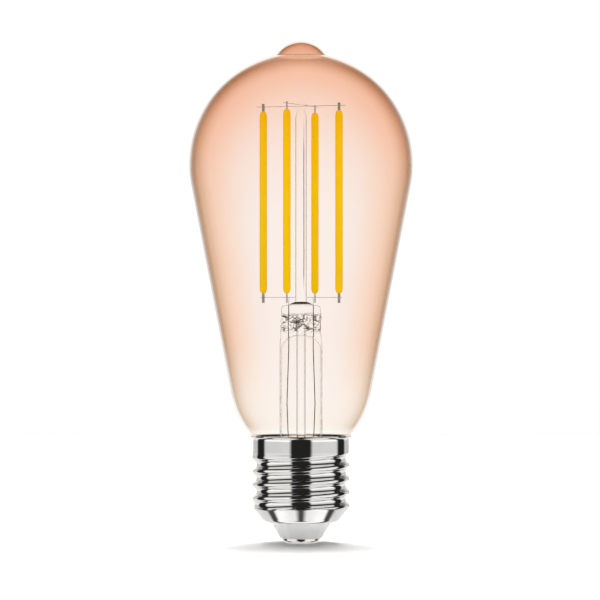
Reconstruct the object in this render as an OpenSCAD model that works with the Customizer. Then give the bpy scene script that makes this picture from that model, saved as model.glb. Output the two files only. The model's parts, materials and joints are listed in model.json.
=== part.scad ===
// Dimmable LED filament lamp in a squirrel-cage bulb, with an E27 screw cap.
// Millimetres, +Z up. The origin is the middle of the centre contact's underside, and the lamp
// stands on it with the cap down. +X is to the right of the lamp's front, and -Y is the front.

/* [Screw cap] */
// Diameter over the crests of the screw thread
thread_major_d = 26.3; // [21.9:0.05:32]
// Depth of the thread from crest to root
thread_depth = 1.1; // [0.8:0.05:1.3]
// Rise of the thread in one turn
thread_pitch = 3.62; // [3:0.01:4.4]
// Number of full turns of thread
thread_turns = 4; // [3:1:5]
// Sheet metal of the screw shell
shell_wall = 0.35; // [0.25:0.05:0.5]
// Height of the plain skirt above the thread
skirt_h = 4.1; // [3:0.1:6]
// How far the lip at the skirt's top flares out
lip_out = 0.7; // [0.3:0.1:1]
// Height of the tapered seat below the thread
seat_h = 4.3; // [3.5:0.1:5.5]
// Diameter of the seat's lower edge
seat_d = 18.2; // [16:0.1:19]

/* [Centre contact and insulator] */
// Diameter of the centre contact's head
contact_d = 10.1; // [8:0.1:12]
// Height of the head, from the socket to the insulator
contact_h = 1.3; // [0.8:0.1:2]
// Diameter of the contact's shank
shank_d = 3.2; // [2:0.1:4]
// Height of the shank above the head
shank_h = 4.4; // [3.5:0.1:5.5]
// Height of insulator that shows below the shell
insulator_h = 4.3; // [3:0.1:6]
// Diameter of the insulator at the contact
insulator_bottom_d = 11.4; // [9:0.1:13]
// Diameter of the insulator where it enters the shell
insulator_top_d = 16.1; // [14:0.1:17]
// Wall of the moulded insulator
insulator_wall = 1.4; // [1:0.1:2]

/* [Glass bulb] */
// Height of the lamp from the centre contact to the glass nipple
lamp_h = 134.8; // [112:0.2:165]
// Widest diameter of the bulb
bulb_d = 60; // [50:1:72]
// Wall of the blown glass
glass_wall = 0.8; // [0.6:0.1:1.2]
// Rise of the nipple above the bulb's dome
nipple_h = 3.1; // [2:0.1:4.5]
// Radius of the nipple's rounded end
nipple_r = 7.75; // [6:0.25:9]
// Radius of the curve between the taper and the neck
shoulder_r = 23; // [18:1:27]
// Angle through which that curve turns, in degrees
shoulder_turn = 31.7; // [25:0.1:38]

/* [Glass stem] */
// Outer diameter of the flare tube
flare_d = 11.5; // [9.5:0.1:13]
// Wall of the flare tube
flare_wall = 0.9; // [0.6:0.1:1.2]
// Radius of the trumpet at the flare's foot
trumpet_r = 9; // [7:0.5:11]
// Width of the pressed glass that holds the leads
press_w = 10.7; // [9:0.1:12.5]
// Thickness of the press
press_t = 5; // [4:0.1:6]
// Height of the press
press_h = 8.4; // [7:0.1:10]
// Outer diameter of the exhaust tube
exhaust_d = 2.4; // [2:0.1:3]
// Bore of the exhaust tube
exhaust_bore = 1.5; // [1:0.1:2]
// Diameter of the glass rod that carries the top wires
rod_d = 3.06; // [2.5:0.02:3.6]
// Diameter of the bead on the rod's top
bead_d = 3.8; // [3.2:0.1:4.6]

/* [Filaments] */
// Length of the phosphor coat
filament_len = 49.1; // [38:0.1:59]
// Diameter of the phosphor coat
filament_d = 2; // [1.6:0.1:2.4]
// Diameter of the circle that the four filaments stand on
cage_d = 21.7; // [17:0.1:26]
// Turn of the cage from the front of the lamp, in degrees
cage_turn = -21.8; // [-40:0.1:-5]
// Clear height from the top wires to the nipple's end
head_room = 17.5; // [15:0.5:22]
// Width of the metal end tabs
tab_w = 0.7; // [0.5:0.05:0.9]
// Thickness of the end tabs
tab_t = 0.2; // [0.15:0.05:0.3]
// Light-emitting chips on each filament
chips = 28; // [12:1:32]

/* [Wires] */
// Diameter of the nickel wires that carry the filaments
nickel_d = 0.35; // [0.25:0.05:0.6]
// Diameter of the lead wires below the press
lead_d = 0.4; // [0.3:0.05:0.5]
// Distance between the two lead wires in the press
lead_gap = 6.8; // [5.5:0.1:7.6]
// Diameter of the insulated wires in the cap
hookup_d = 0.9; // [0.7:0.05:1.1]

/* [Driver board] */
// Width of the circuit board
board_w = 15; // [12:0.5:15]
// Height of the circuit board
board_h = 11.9; // [11:0.1:12.5]
// Thickness of the circuit board
board_t = 1; // [0.8:0.1:1.6]
// Diameter of the smoothing capacitor
capacitor_d = 6; // [5:0.1:6.3]
// Height of the smoothing capacitor
capacitor_h = 8.6; // [7:0.1:9]
// Diameter of the choke
choke_d = 5.6; // [4.5:0.1:6]
// Height of the choke
choke_h = 6.4; // [5:0.1:7]
// Diameter of the fusible resistor
fuse_d = 2.2; // [1.8:0.1:2.6]
// Length of the fusible resistor
fuse_len = 6.2; // [5:0.1:7]
// Diameter of the parts' bare leads
part_lead_d = 0.5; // [0.4:0.05:0.6]

/* [Hidden] */
FILAMENTS = [1, 2, 3, 4];
SIDES = ["left", "right"];
FILAMENT_PIECES = ["phosphor", "substrate", "chips", "tabs"];
$fn = 64;

// Clearance between pieces that fit into each other
fit_gap = 0.1;

// Bare end tab between a coat and its upper wire, and between a coat and its lower wire
top_tab = 1.2;
bottom_tab = 1.05;
// Lead that shows above the press, and the height over which the tube is pinched into the press
inner_lead_h = 1.15;
pinch_h = 4.1;
// Clear space between the two wires that cross in the bead
cross_gap = 0.02;

// Heights, from the centre contact up
z_seat = contact_h + insulator_h;
z_seat_top = z_seat + seat_h;
z_first_crest = z_seat_top + fit_gap + 0.15;
z_thread_top = z_first_crest + thread_turns * thread_pitch;
z_cap_top = z_thread_top + skirt_h;
z_wire_foot = contact_h + 1.5;
z_board = contact_h + shank_h + hookup_d + 0.2;
z_board_top = z_board + board_h;
z_fuse = z_board + 1.4;
z_parts = z_fuse + fuse_d / 2 + part_lead_d + 0.4;
z_neck_end = max(z_board_top, z_parts + capacitor_h, z_parts + choke_h);
z_top_wire = lamp_h - head_room;
z_coat_top = z_top_wire - top_tab;
z_coat_end = z_coat_top - filament_len;
z_bottom_wire = z_coat_end - bottom_tab;
z_press_top = z_bottom_wire - inner_lead_h;
z_press_end = z_press_top - press_h;
z_tube_top = z_press_end - pinch_h;
z_tube_seat = z_press_end + 1.2;

// Radii of the cap
crest_r = thread_major_d / 2;
root_r = crest_r - thread_depth;
skirt_r = crest_r - 0.2;
skirt_in = skirt_r - shell_wall;
lip_h = 0.5;
seat_hole_r = insulator_top_d / 2 + fit_gap / 2;
shank_wall = 0.5;
facet = 48;
facet_share = cos(180 / facet);
seat_slope = (crest_r - seat_d / 2) / seat_h;

// Radii of the bulb and the stem
bulb_r = bulb_d / 2;
neck_r = (root_r - shell_wall) * facet_share - fit_gap / 2;
neck_in = neck_r - glass_wall;
mouth = [skirt_in + 0.4, z_cap_top + 0.05];
tube_r = flare_d / 2;
tube_in = tube_r - flare_wall;
cage_r = cage_d / 2;
lead_x = lead_gap / 2;
tab_offset = (tab_t + nickel_d) / 2;

function unit(v) = v / norm(v);
function polar(r, a, z = 0) = [r * cos(a), r * sin(a), z];
function smooth(t) = let (u = min(max(t, 0), 1)) u * u * (3 - 2 * u);

// Points on an arc about centre c, from angle a0 to angle a1
function arc(c, r, a0, a1, n = 12) = [
    for (i = [0:n]) let (a = a0 + (a1 - a0) * i / n) [c[0] + r * cos(a), c[1] + r * sin(a)]
];

// A revolved solid from its half outline
module turned(outline) {
    rotate_extrude() polygon(outline);
}

// ---- Swept wires ----

// One rounded corner of a wire's route, at b between a and c
function corner(a, b, c, r, n) =
    let (u = unit(a - b), v = unit(c - b), half = acos(u * v) / 2)
    let (centre = b + unit(u + v) * r / sin(half), back = r / tan(half))
    let (p = b + u * back - centre, q = b + v * back - centre, turn = 180 - 2 * half)
    [for (i = [0:n]) centre + (sin(turn * (1 - i / n)) * p + sin(turn * i / n) * q) / sin(turn)];

// A route through the points with its corners rounded to radius r
function rounded(route, r, n = 4) = concat(
    [route[0]],
    [for (i = [1:1:len(route) - 2]) each corner(route[i - 1], route[i], route[i + 1], r, n)],
    [route[len(route) - 1]]
);

function tangent(path, i) = unit(path[min(i + 1, len(path) - 1)] - path[max(i - 1, 0)]);

function ring(p, t, across, r, sides) =
    let (u = unit(cross(across, t)), w = cross(t, u))
    [for (k = [0:sides - 1]) p + r * (cos(360 * k / sides) * u + sin(360 * k / sides) * w)];

// Two triangles for each cell between ring j and ring j + 1 of a mesh with n points a ring
function band(j, next, n) = [
    for (k = [0:n - 1]) let (m = (k + 1) % n)
    each [[j * n + k, next * n + k, next * n + m], [j * n + k, next * n + m, j * n + m]]
];

// A round wire along a path; across is a direction that the path never runs along
module wire(path, d, across, sides = 12) {
    last = len(path) - 1;
    points = [for (i = [0:last]) each ring(path[i], tangent(path, i), across, d / 2, sides)];
    start_cap = [for (k = [0:sides - 1]) k];
    end_cap = [for (k = [sides - 1:-1:0]) last * sides + k];
    sides_faces = [for (i = [0:last - 1]) each band(i, i + 1, sides)];
    polyhedron(points = points, faces = concat([start_cap, end_cap], sides_faces));
}

// ---- Cap ----

// Nickel-plated contact: a dished head with a flat middle, and a shank pressed into the insulator
module centre_contact() {
    head_r = contact_d / 2;
    edge_r = contact_h * 0.48;
    shank_r = shank_d / 2;
    shank_top = contact_h + shank_h;
    color("silver") turned(concat(
        [[0, 0], [head_r - 1.5, 0]],
        arc([head_r - edge_r, contact_h / 2], edge_r, -60, 60, 8),
        [[head_r - 0.9, contact_h], [shank_r, contact_h], [shank_r, shank_top]],
        [[shank_r - shank_wall, shank_top], [shank_r - shank_wall, z_wire_foot], [0, z_wire_foot]]
    ));
}

// Outer cone of the insulator inside the shell, which follows the shell's seat
function seat_inner_r(z) = seat_d / 2 + (z - z_seat) * seat_slope - shell_wall / cos(atan(seat_slope)) - fit_gap;
insulator_rim_r = neck_r - 0.2;
z_insulator_top = z_seat_top;

// Pale moulded insulator: a tapered cup, with a neck that the shell's edge is rolled into
module insulator() {
    bottom_r = insulator_bottom_d / 2;
    waist_r = insulator_top_d / 2;
    ledge_z = z_seat + shell_wall;
    cone_z = z_seat + (insulator_rim_r - seat_inner_r(z_seat)) / seat_slope;
    floor_z = contact_h + 1.6;
    color("gainsboro") difference() {
        turned([
            [shank_d / 2, contact_h], [bottom_r - 0.3, contact_h], [bottom_r, contact_h + 0.3],
            [waist_r, z_seat - 0.1], [waist_r, ledge_z], [seat_inner_r(ledge_z), ledge_z],
            [insulator_rim_r, cone_z], [insulator_rim_r, z_insulator_top],
            [insulator_rim_r - insulator_wall, z_insulator_top],
            [waist_r - insulator_wall, ledge_z - 0.2], [bottom_r - insulator_wall + 0.4, floor_z],
            [shank_d / 2, floor_z]
        ]);
        neutral_wire();
    }
}

// Thread profile of tangent arcs: 0 on the crest, 1 at the root, for a share f of the pitch
arc_turn = 2 * atan(2 * thread_depth / thread_pitch);
arc_r = thread_pitch / 4 / sin(arc_turn);
function sag(d) = arc_r - sqrt(max(arc_r * arc_r - d * d, 0));
function groove(f) =
    let (d = min(f, 1 - f) * thread_pitch, quarter = thread_pitch / 4)
    (d < quarter ? sag(d) : thread_depth - sag(2 * quarter - d)) / thread_depth;

// Outer radius of the screw shell at angle a, from -180 to 180, and height z
function shell_r(a, z) =
    let (turns = (z - z_first_crest) / thread_pitch - a / 360, k = floor(turns), along = a + 360 * k)
    let (run_in = smooth((along + 240) / 120), run_out = smooth((360 * (thread_turns - 1) + 150 - along) / 90))
    let (plain = skirt_r + (crest_r - skirt_r) * run_out)
    let (threaded = plain - (plain - root_r) * run_in * run_out * groove(turns - k))
    min(threaded, seat_d / 2 + 0.1 + (z - z_seat) * seat_slope);

// Rolled sheet-metal shell: seat, thread, plain skirt and flared lip, the same wall all through
module screw_shell() {
    row = thread_pitch / 7;
    z_low = z_seat + 0.25;
    z_high = z_thread_top + row;
    rows = ceil((z_high - z_low) / row);
    function z_at(i) = z_low + (z_high - z_low) * i / rows;
    // Each station is [radius, height], where the radius "thread" is found from the angle
    outer = concat(
        [[seat_hole_r, z_seat], [seat_d / 2 - 0.2, z_seat]],
        [for (i = [0:rows]) ["thread", z_at(i)]],
        [[skirt_r, z_cap_top - lip_h - 0.25], [skirt_r + lip_out * 0.35, z_cap_top - lip_h]],
        [[skirt_r + lip_out, z_cap_top - lip_h / 2], [skirt_r + lip_out, z_cap_top]]
    );
    inner = concat(
        [[skirt_r + lip_out - shell_wall, z_cap_top], [skirt_in, z_cap_top - lip_h - 0.2]],
        [for (i = [rows:-1:1]) ["inside", z_at(i)]],
        [[seat_d / 2 - 0.1, z_seat + shell_wall], [seat_hole_r, z_seat + shell_wall]]
    );
    stations = concat(outer, inner);
    count = len(stations);
    function radius(s, a) =
        s[0] == "thread" ? shell_r(a, s[1]) :
        s[0] == "inside" ? shell_r(a, s[1]) - shell_wall * (s[1] < z_seat_top ? 1 / cos(atan(seat_slope)) : 1) :
        s[0];
    points = [
        for (s = stations) for (k = [0:facet - 1])
        let (a = 360 * k / facet - 180) polar(radius(s, a), a, s[1])
    ];
    faces = [for (j = [0:count - 1]) each band(j, (j + 1) % count, facet)];
    color("silver") polyhedron(points = points, faces = faces);
}

// Cement between the glass neck and the skirt
module basing_cement() {
    outer_r = skirt_in * facet_share - 0.02;
    color("antiquewhite") difference() {
        translate([0, 0, z_thread_top + 0.6]) cylinder(r = outer_r, h = skirt_h - 1.6);
        turned(bulb_outline(0));
    }
}

// ---- Glass bulb ----

dome_z = lamp_h - nipple_h - bulb_r;
nipple_z = lamp_h - nipple_r;
taper_slope =
    let (drop = dome_z - mouth[1], reach = bulb_r - shoulder_r * (1 - cos(shoulder_turn)))
    atan2(drop, mouth[0]) - acos(reach / norm([mouth[0], drop]));
mouth_slope = taper_slope + shoulder_turn;
shoulder_c = mouth - shoulder_r * [cos(mouth_slope), -sin(mouth_slope)];
neck_fillet = (mouth[0] - neck_r) / (1 - cos(mouth_slope));
fillet_c = mouth + neck_fillet * [cos(mouth_slope), -sin(mouth_slope)];

// Half outline from the nipple down to the neck's end, moved in by inset
function bulb_wall(inset) =
    let (rise = nipple_z - dome_z, dome = bulb_r - inset, cap = nipple_r - inset)
    let (meet = (rise * rise + dome * dome - cap * cap) / (2 * rise), meet_r = sqrt(dome * dome - meet * meet))
    concat(
        [[0, nipple_z + cap]],
        [for (p = arc([0, nipple_z], cap, 82, atan2(meet - rise, meet_r), 8)) p],
        arc([0, dome_z], dome, atan2(meet, meet_r) - 1.5, -taper_slope, 30),
        arc(shoulder_c, shoulder_r - inset, -taper_slope, -mouth_slope, 12),
        [for (p = arc(fillet_c, neck_fillet + inset, 180 - mouth_slope, 180, 8)) if (p[1] < mouth[1] - 0.05) p],
        [[neck_r - inset, z_neck_end]]
    );

// The solid inside the bulb's outer skin
function bulb_outline(inset) = concat(bulb_wall(inset), [[0, z_neck_end]]);

function backwards(list) = [for (i = [len(list) - 1:-1:0]) list[i]];

// Amber blown bulb: nipple, dome, long taper, shoulder, and the neck that goes into the cap
module glass_bulb() {
    color([0.86, 0.58, 0.4, 0.5]) turned(concat(bulb_wall(0), backwards(bulb_wall(glass_wall))));
}

// ---- Glass stem ----

trumpet_turn = acos((tube_r + trumpet_r - neck_in) / trumpet_r);
trumpet_in_turn = acos((tube_r + trumpet_r - neck_in) / (trumpet_r + flare_wall));
trumpet_c = [tube_r + trumpet_r, z_neck_end + (trumpet_r + flare_wall) * sin(trumpet_in_turn)];

// A round solid pinched between two slopes: pairs of [radius, height] and [half thickness, height]
module pinched(round_pairs, flat_pairs) {
    low = round_pairs[0][1];
    high = round_pairs[len(round_pairs) - 1][1];
    mirrored = [for (pair = backwards(flat_pairs)) [-pair[0], pair[1]]];
    intersection() {
        turned(concat([[0, low]], round_pairs, [[0, high]]));
        rotate([90, 0, 90]) linear_extrude(4 * tube_r, center = true) polygon(concat(flat_pairs, mirrored));
    }
}

// Clear glass: a tube with a trumpet foot that closes the neck, pinched flat round the lead wires
module stem_flare() {
    press_r = press_w / 2;
    press_y = press_t / 2;
    cavity_x = lead_x + lead_d / 2 + 0.4;
    cavity_y = exhaust_d / 2 + 0.1;
    z_cavity = z_press_end - 0.8;
    z_blow_hole = z_press_end + 2.2;
    color([0.9, 0.95, 0.95, 0.5]) difference() {
        union() {
            turned(concat(
                [[tube_in, z_tube_top], [tube_r, z_tube_top]],
                arc(trumpet_c, trumpet_r, 180, 180 + trumpet_turn, 12),
                arc(trumpet_c, trumpet_r + flare_wall, 180 + trumpet_in_turn, 180, 12)
            ));
            difference() {
                pinched(
                    [
                        [tube_r, z_tube_top], [press_r, z_press_end],
                        [press_r, z_press_top - 1.6], [press_r * 0.6, z_press_top]
                    ],
                    [
                        [tube_r + 0.4, z_tube_top - 1], [press_y * 0.9, z_press_end], [press_y, z_press_end + 2.6],
                        [press_y, z_press_top - 2], [press_y * 0.65, z_press_top + 0.1]
                    ]
                );
                pinched(
                    [[tube_in, z_tube_top - 0.5], [tube_in, z_tube_top], [cavity_x, z_cavity]],
                    [[tube_in + 0.4, z_tube_top - 1], [cavity_y, z_cavity]]
                );
            }
        }
        for (side = [-1, 1])
            translate([side * lead_x, 0, z_cavity - 0.7]) cylinder(d = lead_d, h = z_press_top + 2 - z_cavity);
        translate([0, 0, z_cavity - 0.1]) cylinder(d = exhaust_d, h = z_tube_seat - z_cavity + 0.1);
        translate([0, 0, z_cavity]) cylinder(d = exhaust_bore, h = z_blow_hole - z_cavity);
        translate([0, press_t, z_blow_hole]) rotate([90, 0, 0]) cylinder(d = exhaust_bore + 0.3, h = 2 * press_t);
    }
}

// Thin tube that the bulb was pumped through, melted shut at its lower end
module exhaust_tube() {
    r = exhaust_d / 2;
    tip_z = z_neck_end + 3.4;
    color([0.9, 0.95, 0.95, 0.5]) turned(concat(
        [[0, tip_z]], arc([0, tip_z + r], r, -80, 0, 8),
        [[r, z_tube_seat], [exhaust_bore / 2, z_tube_seat]],
        [[exhaust_bore / 2, tip_z + 2.5], [0, tip_z + 1.8]]
    ));
}

// Solid glass rod on top of the press, with a bead that the top wires are melted into
module stem_rod() {
    bead_z = z_top_wire + nickel_d / 2;
    bead_h = bead_d * 0.9;
    color([0.9, 0.95, 0.95, 0.5]) difference() {
        turned(concat(
            [[0, z_press_top], [rod_d / 2, z_press_top], [rod_d / 2, bead_z - bead_h * 0.75]],
            [for (a = [-50:10:80]) [bead_d / 2 * cos(a), bead_z + bead_h / 2 * sin(a)]],
            [[0, bead_z + bead_h / 2]]
        ));
        top_wire_front();
        top_wire_side();
    }
}

// ---- Wires of the mount ----

function filament_angle(i) = cage_turn + 90 * [2, 3, 1, 0][i - 1];
wire_reach = cage_r + 1.9;

module straight_wire(a, z) {
    rotate([0, 0, a]) translate([-wire_reach, 0, z]) rotate([0, 90, 0]) cylinder(d = nickel_d, h = 2 * wire_reach);
}

// The two nickel wires that cross in the bead and carry the filaments' upper ends
module top_wire_side() {
    color("lightgray") straight_wire(filament_angle(1), z_top_wire);
}

module top_wire_front() {
    color("lightgray") straight_wire(filament_angle(2), z_top_wire + nickel_d + cross_gap);
}

// A nickel wire on top of one lead, bent so that its ends carry two neighbouring filaments
module bottom_wire(i) {
    first = filament_angle(i);
    second = first + 90;
    knee = lead_x * cos(45 + cage_turn) / cos(45);
    route = [
        polar(wire_reach - 0.9, first, z_bottom_wire), polar(knee, first, z_bottom_wire),
        polar(knee, second, z_bottom_wire), polar(wire_reach - 0.9, second, z_bottom_wire)
    ];
    color("lightgray") wire(rounded(route, 0.8), nickel_d, [0, 0, 1]);
}

// Lead from the press to the bottom wire
module inner_lead(side) {
    color("lightgray") translate([side * lead_x, 0, z_press_top - 1])
        cylinder(d = lead_d, h = 1 + z_bottom_wire - z_press_top - nickel_d / 2);
}

// Copper-clad wire that the press seals round
module seal_wire(side) {
    color("indianred") translate([side * lead_x, 0, z_press_end - 1.5]) cylinder(d = lead_d, h = 0.5 + press_h);
}

// Lead from the driver board up through the flare to the seal wire
pad_z = z_board_top - 0.8;
pad_y = board_t / 2 + lead_d / 2;
lead_bow = (tube_in - lead_d / 2 - lead_x) / 3;
function lead_route(side) = [
    [side * lead_x, 0, z_press_end - 1.5],
    [side * lead_x, 0, z_press_end - 4],
    [side * (lead_x + lead_bow), 0, (z_press_end + z_board_top) / 2],
    [side * lead_x, 0, z_board_top + 5.5],
    [side * lead_x, pad_y, z_board_top + 2],
    [side * lead_x, pad_y, pad_z - 0.6]
];

module outer_lead(side) {
    color("peru") wire(rounded(lead_route(side), 2), lead_d, [1, 0, 0]);
}

// ---- Filaments ----

substrate_w = 0.9;
substrate_t = 0.3;
chip_h = 0.2;
chip_channel_w = 0.5;
z_substrate = z_coat_end + 0.9;
substrate_len = filament_len - 1.8;

// Places a filament's pieces: X away from the lamp's axis, Y along the cage's circle
module at_filament(i) {
    rotate([0, 0, filament_angle(i)]) translate([cage_r, tab_offset, 0]) children();
}

// Solid coat with bullet-shaped ends
module coat_solid() {
    r = filament_d / 2;
    taper = filament_d * 0.9;
    function bullet(t) = r * (0.3 + 0.7 * sqrt(1 - pow(1 - t, 2.2)));
    turned(concat(
        [[0, z_coat_end]],
        [for (t = [0:0.125:1]) [bullet(t), z_coat_end + taper * t]],
        [for (t = [1:-0.125:0]) [bullet(t), z_coat_top - taper * t]],
        [[0, z_coat_top]]
    ));
}

module filament_strip() {
    translate([-substrate_w / 2, -substrate_t / 2, z_substrate]) cube([substrate_w, substrate_t, substrate_len]);
}

module filament_tabs_solid() {
    top_z = z_substrate + substrate_len;
    translate([-tab_w / 2, -tab_t / 2, top_z]) cube([tab_w, tab_t, z_top_wire + nickel_d * 1.5 + 0.3 - top_z]);
    translate([-tab_w / 2, -tab_t / 2, z_bottom_wire - 1.5]) cube([tab_w, tab_t, z_substrate - z_bottom_wire + 1.5]);
}

// Yellow silicone with phosphor, moulded round the strip and its chips
module filament_phosphor(i) {
    color([0.98, 0.75, 0.1]) at_filament(i) difference() {
        coat_solid();
        filament_strip();
        filament_tabs_solid();
        translate([-chip_channel_w / 2, substrate_t / 2, z_substrate + 0.4])
            cube([chip_channel_w, chip_h, substrate_len - 0.8]);
    }
}

// Ceramic strip in the middle of the coat
module filament_substrate(i) {
    color("whitesmoke") at_filament(i) filament_strip();
}

// Row of light-emitting chips along one face of the strip
module filament_chips(i) {
    step = (substrate_len - 1.6) / chips;
    chip_len = step * 0.6;
    chip_w = 0.4;
    first_z = z_substrate + 0.8 + (step - chip_len) / 2;
    color("gold") at_filament(i) for (n = [0:chips - 1])
        translate([-chip_w / 2, substrate_t / 2, first_z + step * n]) cube([chip_w, chip_h * 0.8, chip_len]);
}

// Metal tabs at the strip's two ends
module filament_tabs(i) {
    color("silver") at_filament(i) filament_tabs_solid();
}

// ---- Driver in the cap ----

board_face = board_t / 2;
foot_w = board_w * 0.68;
foot_h = 3;
stand_off = 0.2;
fuse_y = -board_face - 0.15 - fuse_d / 2;
capacitor_at = [-3.5, -board_face - stand_off - capacitor_d / 2];
choke_at = [3.8, -board_face - stand_off - choke_d / 2];

// Chip packages on the back of the board: width, height, thickness, then the centre's x and z
rectifier = [3.9, 4.7, 1.5, -3.9, z_board_top - 4.3];
dimmer = [3.9, 4.9, 1.5, 3.9, z_board_top - 4.3];
switch = [1.4, 2.9, 1, -3, z_board + 2.3];
package_lift = 0.15;
leg_reach = 0.9;
leg_w = 0.4;
resistor_size = [1.6, 0.5, 0.8];
resistor_step = 1.3;

// Circuit board on edge, with its lower corners cut to clear the insulator
module driver_board() {
    color("seagreen") translate([0, board_face, 0]) rotate([90, 0, 0]) linear_extrude(board_t) polygon([
        [-foot_w / 2, z_board], [foot_w / 2, z_board], [board_w / 2, z_board + foot_h],
        [board_w / 2, z_board_top], [-board_w / 2, z_board_top], [-board_w / 2, z_board + foot_h]
    ]);
}

module at_capacitor() {
    translate([capacitor_at[0], capacitor_at[1], z_parts]) children();
}

// Aluminium can of the smoothing capacitor, crimped round its rubber bung
can_r = capacitor_d / 2 - 0.12;
can_wall = 0.35;
crimp_z = 1.15;
crimp = 0.25;

module capacitor_can() {
    color("lightgray") at_capacitor() turned([
        [can_r - can_wall, 0.02], [can_r, 0.3], [can_r, crimp_z - crimp], [can_r - crimp, crimp_z],
        [can_r, crimp_z + crimp], [can_r, capacitor_h - 0.25], [can_r - 0.25, capacitor_h],
        [0, capacitor_h], [0, capacitor_h - can_wall], [can_r - can_wall, capacitor_h - can_wall],
        [can_r - can_wall, crimp_z + 0.55], [can_r - can_wall - crimp, crimp_z], [can_r - can_wall, crimp_z - 0.55]
    ]);
}

module capacitor_sleeve() {
    color("midnightblue") at_capacitor() difference() {
        cylinder(d = capacitor_d, h = capacitor_h - 0.3);
        translate([0, 0, -1]) cylinder(r = can_r + 0.01, h = capacitor_h + 2);
    }
}

module capacitor_bung() {
    bung_r = can_r - can_wall;
    color("dimgray") at_capacitor() difference() {
        turned([
            [0, 0.1], [bung_r - 0.1, 0.1], [bung_r - 0.05, crimp_z - 0.55], [bung_r - crimp - 0.05, crimp_z],
            [bung_r - 0.05, crimp_z + 0.45], [0, crimp_z + 0.45]
        ]);
        for (side = [-1, 1]) translate([side * lead_pitch / 2, 0, -1]) cylinder(d = part_lead_d, h = 3);
    }
}

// Two bent leads from below a part, over to the board's face
module part_leads(at, pitch, top_z) {
    run_z = z_parts - part_lead_d / 2 - 0.15;
    for (side = [-1, 1]) {
        x = at[0] + side * pitch / 2;
        route = [[x, at[1], top_z], [x, at[1], run_z], [x, -board_face, run_z]];
        wire(rounded(route, 0.4), part_lead_d, [1, 0, 0], 8);
    }
}

lead_pitch = 2.5;

module capacitor_leads() {
    color("silver") part_leads(capacitor_at, lead_pitch, z_parts + crimp_z + 0.45);
}

module at_choke() {
    translate([choke_at[0], choke_at[1], z_parts]) children();
}

choke_r = choke_d / 2;
bobbin_r = choke_r * 0.45;
flange_h = 1;

// Ferrite bobbin
module choke_core() {
    color("dimgray") at_choke() difference() {
        turned([
            [0, 0], [choke_r, 0], [choke_r, flange_h], [bobbin_r, flange_h], [bobbin_r, choke_h - flange_h],
            [choke_r, choke_h - flange_h], [choke_r, choke_h], [0, choke_h]
        ]);
        for (side = [-1, 1]) translate([side * choke_pitch / 2, 0, -1]) cylinder(d = part_lead_d, h = 1.6);
    }
}

choke_pitch = 3;

module choke_leads() {
    color("silver") part_leads(choke_at, choke_pitch, z_parts + 0.6);
}

// Enamelled copper winding between the bobbin's flanges
module choke_winding() {
    color("chocolate") at_choke() translate([0, 0, flange_h]) difference() {
        cylinder(r = choke_r * 0.88, h = choke_h - 2 * flange_h);
        translate([0, 0, -1]) cylinder(r = bobbin_r + 0.02, h = choke_h);
    }
}

module package(chip) {
    color([0.15, 0.15, 0.15])
        translate([chip[3] - chip[0] / 2, board_face + package_lift, chip[4] - chip[1] / 2])
        cube([chip[0], chip[2], chip[1]]);
}

module bridge_rectifier() {
    package(rectifier);
}

module dimmer_chip() {
    package(dimmer);
}

module switch_transistor() {
    package(switch);
}

// Flat legs along both sides of a package, count to a side
module legs(chip, count, step) {
    for (side = [-1, 1]) for (n = [0:count - 1])
        translate([
            chip[3] + side * (chip[0] / 2 + leg_reach / 2) - leg_reach / 2,
            board_face, chip[4] + step * (n - (count - 1) / 2) - leg_w / 2
        ]) cube([leg_reach, leg_w, leg_w]);
}

module chip_legs() {
    color("silver") {
        legs(rectifier, 2, 2.54);
        legs(dimmer, 4, 1.27);
        legs(switch, 2, 1.9);
    }
}

// Surface-mounted resistors in two columns: between the packages, and beside the transistor
module chip_resistors() {
    color("saddlebrown") for (n = [0:6]) {
        column = n < 4 ? [0, z_board_top - 6.3 + resistor_step * n] : [3.4, z_board + 0.7 + resistor_step * (n - 4)];
        translate([column[0] - resistor_size[0] / 2, board_face, column[1]]) cube(resistor_size);
    }
}

// Ceramic body of the fusible resistor, across the front of the board
module fuse_resistor() {
    r = fuse_d / 2;
    cap_len = 1.4;
    color("burlywood") translate([-fuse_len / 2, fuse_y, z_fuse]) rotate([0, 90, 0]) turned([
        [0, 0], [r - 0.25, 0], [r, 0.4], [r, cap_len], [r - 0.15, cap_len + 0.4],
        [r - 0.15, fuse_len - cap_len - 0.4], [r, fuse_len - cap_len], [r, fuse_len - 0.4],
        [r - 0.25, fuse_len], [0, fuse_len]
    ]);
}

// Solder at the board's two output pads
module solder_joints() {
    color("lightgray") for (side = [-1, 1]) difference() {
        translate([side * lead_x, board_face, pad_z]) rotate([-90, 0, 0]) cylinder(r1 = 0.75, r2 = 0.4, h = 0.6);
        outer_lead(side);
    }
}

// Insulated live wire, from the contact's shank to the fusible resistor
module live_wire() {
    end_x = -fuse_len / 2;
    turn_z = contact_h + shank_h + hookup_d / 2 + 0.05;
    route = [
        [0, 0, z_wire_foot], [0, 0, turn_z], [0, fuse_y, turn_z],
        [end_x - 1.6, fuse_y, turn_z], [end_x - 1.6, fuse_y, z_fuse], [end_x, fuse_y, z_fuse]
    ];
    color("firebrick") wire(rounded(route, 0.6), hookup_d, [1, 1, 1], 10);
}

// Bare tail of the fusible resistor, soldered to the board
module fuse_lead() {
    end_x = fuse_len / 2;
    route = [[end_x, fuse_y, z_fuse], [end_x + 0.9, fuse_y, z_fuse], [end_x + 0.9, -board_face, z_fuse]];
    color("silver") wire(rounded(route, 0.4), part_lead_d, [0, 0, 1]);
}

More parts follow.
